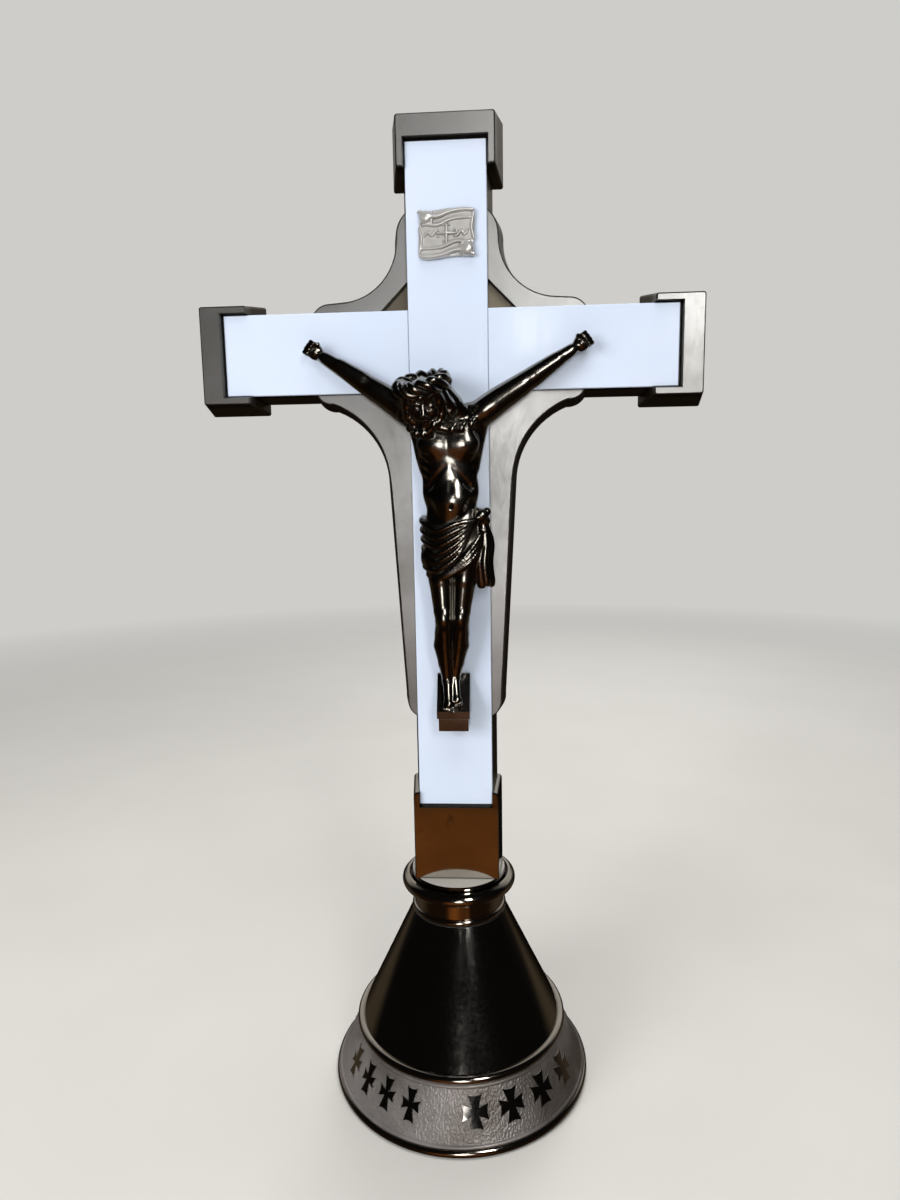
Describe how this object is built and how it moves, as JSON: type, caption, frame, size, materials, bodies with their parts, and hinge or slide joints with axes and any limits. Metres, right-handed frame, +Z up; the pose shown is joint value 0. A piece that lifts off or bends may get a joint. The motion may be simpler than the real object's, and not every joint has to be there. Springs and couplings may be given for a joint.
{
  "type": "processional altar cross",
  "caption": "Standing cross with white face panels, capped arms, a cast figure and a weighted conical stand; the cross lifts out of the stand and swivels.",
  "frame": {"origin": "centre of the stand's footprint, on the surface that it stands on", "axes": "+Z up along the stand's axis; the figure faces -Y; +X is to the viewer's right when facing the figure"},
  "size_m": [0.1992, 0.112, 0.3966],
  "materials": {
    "nickel": "mirror-polished nickel plate, slightly warm",
    "satin_nickel": "satin nickel plate, brushed by hand",
    "stippled_nickel": "stippled silver-grey face, darkened in the pits",
    "ornament": "raised ornaments, blackened and rubbed",
    "old_silver": "antiqued silver, dark in the folds and bright on the high spots",
    "white_panel": "cool white enamel, glossy and flat",
    "back_cover": "satin grey paint",
    "zinc_steel": "zinc-plated steel, dull",
    "cast_iron": "raw casting, dark grey",
    "bronze": "sintered bronze, oily",
    "felt": "dark green felt"
  },
  "bodies": {
    "stand": {"felt_pad": "felt", "base_plate": "zinc_steel", "base_screws": "zinc_steel", "ballast_weight": "cast_iron", "ballast_bolt": "zinc_steel", "ballast_nut": "zinc_steel", "foot_ring": "nickel", "foot_band": "stippled_nickel", "band_ornaments": "ornament", "cone_bead": "nickel", "cone_screws": "zinc_steel", "cone_shell": "nickel", "neck_bead": "nickel", "neck_sleeve": "nickel", "neck_nut": "zinc_steel", "collar_ring": "nickel"},
    "swivel": {"swivel_bush": "bronze", "retaining_ring": "zinc_steel"},
    "cross_head": {"spigot": "zinc_steel", "shoe": "nickel", "cross_body": "satin_nickel", "back_cover": "back_cover", "cover_screws": "zinc_steel", "shoe_screws": "zinc_steel", "panel_vertical": "white_panel", "panel_left": "white_panel", "panel_right": "white_panel", "cap_left": "satin_nickel", "cap_right": "satin_nickel", "cap_top": "satin_nickel", "cap_screws": "zinc_steel", "title_scroll": "old_silver", "scroll_nuts": "zinc_steel", "corpus": "old_silver", "hand_studs": "old_silver", "hand_nuts": "zinc_steel", "footrest": "old_silver", "foot_stud": "old_silver", "foot_nuts": "zinc_steel"}
  },
  "joints": [
    {"name": "swivel_turn", "type": "hinge", "parent": "stand", "child": "swivel", "pos_m": [0, 0, 0.07], "axis": [0, 0, 1], "continuous": true},
    {"name": "head_lift", "type": "slide", "parent": "swivel", "child": "cross_head", "axis": [0, 0, 1], "range_m": [0, 0.032]}
  ]
}
